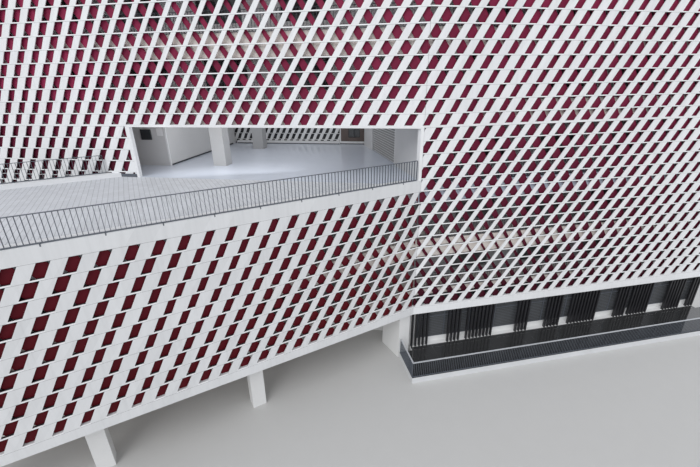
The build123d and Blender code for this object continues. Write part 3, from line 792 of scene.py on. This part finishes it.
WALLS = {
    "main_skin_upper": Wall(MAIN_LEFT, 0, MAIN_LENGTH, *UPPER, (SQUARE, RIGHT_TURN), ON_MAIN, LEFT_S, 1),
    "main_skin_beside_mouth": Wall(MAIN_LEFT, 0, BESIDE, TERRACE + GAP, MOUTH_HEAD, BARE_BAND, THIN_BAND,
                                   (SQUARE, 0), ON_MAIN, LEFT_S, 1),
    "main_skin_low": Wall(MAIN_LEFT, 0, MEETS, SKIN_FOOT, TERRACE, FOOT_BAND, BARE_BAND,
                          (SQUARE, 0), ON_MAIN, LEFT_S, 1),
    "main_skin_back": Wall(BEND_BACK, math.pi, BACK_MAIN, *FULL, (-RIGHT_TURN, SQUARE), 0, 0, -1),
    "main_skin_end": Wall(MAIN_LEFT_BACK, 3 * SQUARE, BLOCK_DEPTH, *FULL,
                          (SQUARE, SQUARE), 0, LEFT_S - BLOCK_DEPTH / ROW, 1),
    "right_skin_upper": Wall(BEND, RIGHT_TURN, RIGHT_LENGTH, *UPPER, (RIGHT_TURN, SQUARE), STRIP_DATUM, 0, 1),
    "right_skin_lower": Wall(BEND, RIGHT_TURN, RIGHT_LENGTH, SKIN_FOOT, MOUTH_HEAD, FOOT_BAND, THIN_BAND,
                             (FOLD, SQUARE), STRIP_DATUM, 0, 1),
    "right_skin_end": Wall(RIGHT_END, RIGHT_TURN + SQUARE, BLOCK_DEPTH, *FULL,
                           (SQUARE, SQUARE), 0, RIGHT_S, 1),
    "right_skin_back": Wall(RIGHT_END_BACK, RIGHT_TURN + math.pi, BACK_RIGHT, *FULL,
                            (SQUARE, -RIGHT_TURN), 0, RIGHT_S, -1),
    "wing_skin_front": Wall(WING_FRONT, WING_TURN, WING_LENGTH, *WING, (SQUARE, FOLD), ON_WING, WING_S, 1),
    "wing_skin_end": Wall(WING_BACK, WING_TURN - SQUARE, WING_DEPTH, *WING,
                          (SQUARE, SQUARE), 0, WING_S - WING_DEPTH / ROW, 1),
    "wing_skin_back": Wall(WING_MEETS, WING_TURN + math.pi, STUB, *WING, (ALONG_MAIN, SQUARE), 0, STUB_S, -1),
}
WALLS["wing_skin_front"].fin_shift = WING_FIN_SHIFT


def make_skins():
    for name, wall in WALLS.items():
        sheet = lattice_sheet(wall)
        edge_frame(sheet, wall)
        white, red = (WING_WHITE_SHADED, RED_BROWN_SHADED) if name.startswith("wing") else (WHITE, RED)
        finish_piece(name + "_sheet", sheet, [white], (name,), wall.place)
        finish_piece(name + "_fins", fin_layer(wall), [red], (), wall.place)
        finish_piece(name + "_rails", carrier_rails(wall), [SUPPORT_DARK], (), wall.place)
        # The lips stay flush on the one wall that the whole part ends with
        out = GAP if name == "main_skin_end" else LIP_OUT
        finish_piece(name + "_lips", foot_lips(wall, out), [LIP_HIGHLIGHT_WHITE], (), wall.place)


def make_passage_lining():
    """The far skin's inner sheet, seen from the open storey: white leaning strips on a dark backing sheet
    that stands in as painted shade.
    """
    wall = Wall(BEND_BACK, math.pi, BACK_MAIN, TERRACE, FLOORS["floor_5"], 0.0, SLAB, (0, 0), 0, 0, -1)
    slip = (BEND_BACK - BEND).x
    x0, x1, z0, z1 = PANEL_LEFT + slip, ROOM_SIDE + 0.4 + slip, TERRACE, wall.inside[3]
    wall.inside = (x0 / LINING_WIDE, x1 / LINING_WIDE, z0 / LINING_TALL, z1 / LINING_TALL)
    sheet = lattice_sheet(wall, -LEAN, LINING_OPEN)
    bmesh.ops.scale(sheet, vec=(LINING_WIDE, 1, LINING_TALL), verts=sheet.verts[:])
    bmesh.ops.translate(sheet, vec=(0, LINING_BACK, 0), verts=sheet.verts[:])
    finish_piece("passage_lining", sheet, [WHITE], (), wall.place)
    # A near-black sheet behind the strips: painted shade in the holes.
    backing = bmesh.new()
    bar(backing, (x0, LINING_BACK - 0.020, z0), (x1, LINING_BACK - 0.014, z1))
    finish_piece("passage_shade_backing", backing, [FIN_DARK], (), wall.place)


def balustrade(name, node, runs, finishes, height=RAIL_HEIGHT, pitch=BALUSTER_PITCH, wide=BALUSTER_WIDE,
               deep=BALUSTER_DEEP, cap=0.004, brackets=0):
    """Top and foot rails with flat balusters along runs: start, turn, length, base, inward.

    The top rail is wider than the balusters by the cap on each side, and takes the last finish."""
    bm = bmesh.new()
    for start, turn, length, base, inward in runs:
        own = bmesh.new()
        top = base + height
        middle = inward + RAIL_BAR / 2
        front, back = middle - deep / 2, middle + deep / 2
        count = round(length / pitch)
        for i in range(count + 1):
            x = wide / 2 + i * (length - wide) / count
            bar(own, (x - wide / 2, front, base + 0.012), (x + wide / 2, back, top - 0.010))
        bar(own, (0, front - 0.003, base + GAP), (length, back + 0.003, base + 0.026), 0.003)
        for i in range(brackets):
            x = (i + 0.5) * length / brackets
            bar(own, (x - 0.012, -0.005, base - 0.042), (x + 0.012, -GAP, base + 0.010), 0.002)
            bar(own, (x - 0.012, -GAP, base + GAP), (x + 0.012, middle, base + 0.010))
        below = set(own.faces)
        bar(own, (0, front - cap, top - 0.012 - cap), (length, back + cap, top), 0.004)
        for face in own.faces:
            if face not in below:
                face.material_index = len(finishes) - 1
        standing(own, start, turn)
        take_in(bm, own)
    finish_piece(name, bm, finishes, (node,))


def make_railings():
    base = TERRACE + KERB_HEIGHT
    line_at = RAIL_SETBACK
    short = line_at + RAIL_BAR
    front_stop = WING_LENGTH - short / math.tan(WING_TURN) - RAIL_BAR
    front = (walk(WING_FRONT, WING_TURN, line_at), WING_TURN, front_stop - line_at, base, line_at)
    end_turn = WING_TURN - SQUARE
    end = (walk(WING_BACK, end_turn, short + GAP), end_turn, WING_DEPTH - 2 * (short + GAP), base, line_at)
    back_turn = WING_TURN + math.pi
    back = (walk(WING_MEETS, back_turn, RAIL_BAR), back_turn, STUB - line_at - RAIL_BAR, base, line_at)
    for edge, run, brackets in (("front", front, 12), ("end", end, 6), ("back", back, 6)):
        balustrade("terrace_railing_" + edge, "wing_railing_" + edge, [run], [RAIL_GREY], brackets=brackets)
    corner = walk(BEND, RIGHT_TURN, -DECK_OVERHANG, -DECK_DEPTH)
    side = walk(corner, RIGHT_TURN, 0, DECK_DEPTH - RAIL_BAR)
    balustrade("deck_balustrade", "deck_railing",
               [(corner, RIGHT_TURN, RIGHT_LENGTH + DECK_OVERHANG, DECK_TOP, RAIL_BAR),
                (side, RIGHT_TURN - SQUARE, DECK_DEPTH - 3 * RAIL_BAR, DECK_TOP, 0.008)],
               [RAIL_GREY, RAIL_PALE], pitch=0.068, wide=0.008, deep=0.018, cap=0.014)
    line_at = SKIN_DEPTH + CORRIDOR_RAIL_SETBACK
    runs = [(walk(BEND, 0, -MAIN_LENGTH + CAVITY), 0, MAIN_LENGTH - 2 * CAVITY, FLOORS[name], line_at)
            for name in ("floor_5", "floor_6")]
    runs += [(walk(BEND, RIGHT_TURN, CAVITY), RIGHT_TURN, RIGHT_LENGTH - 2 * CAVITY, level, line_at)
             for level in FLOORS.values()]
    balustrade("corridor_balustrades", "corridor_rails", runs, [RAIL_GREY],
               height=CORRIDOR_RAIL_HEIGHT, deep=0.020)


# The open storey and the ground storey
def make_louvres():
    """Sloped blades in a frame of slim posts, in place of the plain screen, with a grey sheet of painted
    shade behind them.
    """
    bm = bmesh.new()
    low, high = TERRACE + GAP, FLOORS["floor_5"] - SLAB - GAP
    length = SCREEN_LENGTH - 2 * GAP
    for x in (0.0, length - LOUVRE_POST):
        bar(bm, (x, 0.0, low), (x + LOUVRE_POST, WALL, high), 0.004)
    size = (length - 0.08, LOUVRE_DEEP, LOUVRE_THICK, 1)
    for i in range(LOUVRES):
        blade = bmesh.ops.create_cube(bm, size=1.0)["verts"]
        place = Matrix.Translation((length / 2, 0.070, low + (i + 0.6) * (high - low) / LOUVRES))
        tilt = Matrix.Rotation(LOUVRE_TILT, 4, "X")
        bmesh.ops.transform(bm, matrix=place @ tilt @ Matrix.Diagonal(size), verts=blade)
    turn = RIGHT_TURN + SQUARE
    start = walk(BEND, RIGHT_TURN, SCREEN_DEPTH + WALL, END_WALL_LENGTH + GAP)
    standing(bm, start, turn)
    finish_piece("passage_louvres", bm, [TRIM], ("passage_screen",))
    # A grey sheet behind the blades: painted shade in the gaps between them.
    backing = bmesh.new()
    inset = LOUVRE_POST + 0.002
    bar(backing, (inset, 0.004, low), (length - inset, 0.012, high))
    standing(backing, start, turn)
    finish_piece("passage_louvre_shade_backing", backing, [PLASTER_DEEP_SHADE])


def make_passage_trim():
    """Frame and bars of the far window, corner trim, skirtings, a meter box and a bare plate."""
    pale, dark, pane = bmesh.new(), bmesh.new(), bmesh.new()
    low, high = TERRACE + GAP, FLOORS["floor_5"] - SLAB - BEAM_DEPTH - GAP
    face = BLOCK_DEPTH - SKIN_DEPTH - 2 * GAP - WALL
    # The brown panel's frame, its window's pane, sashes and bars, and the blind's foot
    left, right = -PANEL_LEFT, -PANEL_LEFT + PANEL_WIDTH
    for x in (left, right - PANEL_TRIM):
        bar(pale, (x, face - 0.020, low), (x + PANEL_TRIM, face - GAP, high), 0.004)
    bar(pale, (left, face - 0.022, high - 0.050), (right, face - GAP, high), 0.004)
    bar(pale, (left, face - 0.026, low), (right, face - GAP, low + KERB_HEIGHT), 0.004)
    x0, x1 = left + PANEL_WIDTH * 0.3, left + PANEL_WIDTH * 0.7
    z0, z1 = low + WINDOW_SILL, low + WINDOW_SILL + WINDOW_HEIGHT
    bar(pane, (x0 + 0.002, face + 0.040, z0 + 0.002), (x1 - 0.002, face + 0.052, z1 - 0.002))
    for x in (x0, (x0 + x1 - SASH) / 2, x1 - SASH):
        bar(dark, (x + 0.001, face + 0.010, z0 + 0.001), (x + SASH - 0.001, face + 0.039, z1 - 0.001), 0.003)
    for z in (z0, z1 - SASH):
        bar(dark, (x0 + 0.001, face + 0.011, z + 0.001), (x1 - 0.001, face + 0.038, z + SASH - 0.001), 0.003)
    bar(pale, (x0 + 0.002, face + 0.006, z1 - 0.400), (x1 - 0.002, face + 0.0095, z1 - 0.376), 0.001)
    # The room's corner, its side's skirting, and the box and the plate on its front
    room, front, head = -ROOM_SIDE, ROOM_SETBACK, FLOORS["floor_5"] - SLAB - GAP
    bar(pale, (room - CORNER_TRIM, front - 0.012, low), (room + 0.012, front - GAP, head), 0.004)
    bar(pale, (room + GAP, front - 0.012, low), (room + 0.012, front + CORNER_TRIM, head), 0.004)
    bar(dark, (room + GAP, front + 0.050, low), (room + 0.010, face - KERB_WIDTH - 0.20, low + 0.060), 0.003)
    for bm, box, out, bevel in ((dark, METER_BOX, 0.055, 0.010), (pale, PLATE, 0.008, 0.003)):
        bar(bm, (box[0], front - out, box[2]), (box[1], front - GAP, box[3]), bevel)
    # Skirtings of the far kerb and of the panel
    kerb = BLOCK_DEPTH - SKIN_DEPTH - 2 * GAP - KERB_WIDTH
    bar(dark, (room + WALL + 0.02, kerb - 0.008, low), (left - 0.01, kerb - GAP, low + SKIRTING), 0.002)
    bar(dark, (left, face - 0.034, low), (right, face - 0.027, low + SKIRTING), 0.002)
    for name, bm, finish, slot in (("passage_pale_trim", pale, TRIM, "skin_white"),
                                   ("passage_dark_trim", dark, FRAME_DARK, "fin_dark"),
                                   ("passage_pane", pane, GLASS, "window_glass")):
        standing(bm, BEND, 0)
        finish_piece(name, bm, [finish])


def make_foot_shadow_strip():
    """Grey strip over the foot band of the skin beside the mouth: a painted shadow along the skin's foot."""
    bm = bmesh.new()
    bar(bm, (MEETS + 0.30, -0.006, TERRACE + 0.004), (BESIDE - 0.004, -GAP, TERRACE + 0.118), 0.002)
    standing(bm, MAIN_LEFT, 0)
    finish_piece("mouth_foot_shadow_strip", bm, [RAIL_GREY])


def make_ground_glazing():
    """The right block's glazed ground front: dark sheets with slim posts and level blind slats."""
    bm = bmesh.new()
    low, high = GLAZING_FOOT, FLOORS["floor_2"] - SLAB - 0.010
    x0, x1 = CAVITY, RIGHT_LENGTH - CAVITY
    bar(bm, (x0, -0.016, low), (x1, -0.004, high))
    panes = set(bm.faces)
    for i in range(GLAZING_SHEETS + 1):
        x = x0 + i * (x1 - x0 - GLAZING_POST) / GLAZING_SHEETS
        bar(bm, (x, -0.034, low), (x + GLAZING_POST, -0.0165, high), 0.003)
    for z in (low, low + GLAZING_RAIL, high - 0.030):
        bar(bm, (x0 + 0.031, -0.030, z), (x1 - 0.031, -0.0170, z + 0.026), 0.003)
    for i in range(BLIND_SLATS):
        z = low + 0.06 + i * (high - low - 0.12) / BLIND_SLATS
        bar(bm, (x0 + 0.032, -0.0195, z), (x1 - 0.032, -0.0175, z + 0.012))
    for face in bm.faces:
        face.material_index = 0 if face in panes else 1
    standing(bm, walk(BEND, RIGHT_TURN, 0, GROUND_SETBACK), RIGHT_TURN)
    finish_piece("ground_front_glazing", bm, [GLASS, RAIL_GREY])
    margin = bmesh.new()
    bar(margin, (0.045, GAP, DECK_TOP + GAP), (RIGHT_LENGTH - CAVITY, 0.172, DECK_TOP + 0.004))
    standing(margin, BEND, RIGHT_TURN)
    finish_piece("deck_margin", margin, [DECK])


# CAD nodes that stay and take a better finish
def dress_nodes():
    # The open storey's columns, the mouth's walls and the lower corridors' walls take darker plaster as
    # painted shade.
    finishes = {
        "floor_2_slab": SLAB_PALE, "floor_3_slab": SLAB_PALE, "floor_5_slab": SLAB_PALE,
        "floor_6_slab": SLAB_PALE, "roof_slab": FELT, "terrace_slab": PAVING,
        "ground_slabs": PLASTER_WHITE, "front_deck": DECK, "shade_fins": FIN_DARK,
        "under_columns": PLASTER_WHITE, "mouth_frame": TRIM, "passage_columns": PLASTER_DEEP_SHADE,
        "passage_back_panel": PANEL_BROWN, "terrace_kerbs": TRIM, "roof_upstand": PLASTER_WHITE,
        "terrace_floor_walls": PLASTER_MOUTH_SHADE, "ground_walls": PLASTER_WHITE,
        "floor_2_walls": PLASTER_LOW_SHADE, "floor_3_walls": PLASTER_LOW_SHADE,
        "floor_5_walls": PLASTER_PALE, "floor_6_walls": PLASTER_PALE,
    }
    for node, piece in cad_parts.items():
        finish = finishes.get(node, GLASS if node.endswith("_glass") else None)
        if finish is not None:
            for place in range(len(piece.data.materials)):
                piece.data.materials[place] = finish


# Camera, floor and light
def make_camera():
    data = bpy.data.cameras.new("photo_view")
    data.sensor_width = 36.0
    data.lens = PHOTO_FOCAL / PHOTO_WIDTH * data.sensor_width
    data.clip_end = 500.0
    view = bpy.data.objects.new("photo_view", data)
    turn = (Matrix.Rotation(VIEW_TURN, 4, "Z") @ Matrix.Rotation(SQUARE - VIEW_DOWN, 4, "X")
            @ Matrix.Rotation(VIEW_ROLL, 4, "Z"))
    view.matrix_world = Matrix.Translation(BEND + VIEW_PLACE) @ turn
    bpy.context.scene.collection.objects.link(view)
    bpy.context.scene.camera = view


def lamp(name, kind, energy, turn=(0, 0, 0)):
    """A lamp in the scene, turned by three angles in degrees, and its data."""
    data = bpy.data.lights.new(name, kind)
    data.energy = energy
    piece = bpy.data.objects.new(name, data)
    piece.rotation_euler = [math.radians(angle) for angle in turn]
    bpy.context.scene.collection.objects.link(piece)
    return piece, data


def area_lamp(name, watts, wide, tall, place, turn=(0, 0, 0)):
    """A soft lamp with its place from the bend corner, not seen itself."""
    piece, data = lamp(name, "AREA", watts, turn)
    data.shape = "RECTANGLE"
    data.size, data.size_y = wide, tall
    piece.location = BEND + Vector(place)
    piece.visible_camera = False
    return piece


def make_stage():
    bm = bmesh.new()
    bmesh.ops.create_grid(bm, x_segments=1, y_segments=1, size=120.0)
    mesh = bpy.data.meshes.new("floor")
    bm.to_mesh(mesh)
    bm.free()
    floor = bpy.data.objects.new("floor", mesh)
    floor.location.z = -0.002
    bpy.context.scene.collection.objects.link(floor)
    mesh.materials.append(plain_coating("floor_pale", (0.56, 0.56, 0.55), 0.8, 0.02))
    world = bpy.data.worlds.new("soft_sky")
    bpy.context.scene.world = world
    world.use_nodes = True
    sky = world.node_tree.nodes["Background"]
    sky.inputs["Color"].default_value = (0.94, 0.955, 1.0, 1)
    sky.inputs["Strength"].default_value = 0.84
    key = lamp("soft_key", "SUN", 1.15, (52, 0, -16))[1]
    key.angle = math.radians(40)
    area_lamp("passage_fill", 56.0, 6.6, 6.0, (-6.1, 4.6, FLOORS["floor_5"] - SLAB - 0.05))
    low_fill = area_lamp("mouth_fill", 39.0, 4.4, 0.8, (-6.5, 0.50, TERRACE + 1.05), (94, 0, 18))
    low_fill.visible_glossy = False


bpy.context.scene.view_settings.view_transform = "Standard"
make_camera()
make_stage()
dress_nodes()
make_skins()
make_passage_lining()
make_railings()
make_louvres()
make_passage_trim()
make_foot_shadow_strip()
make_ground_glazing()
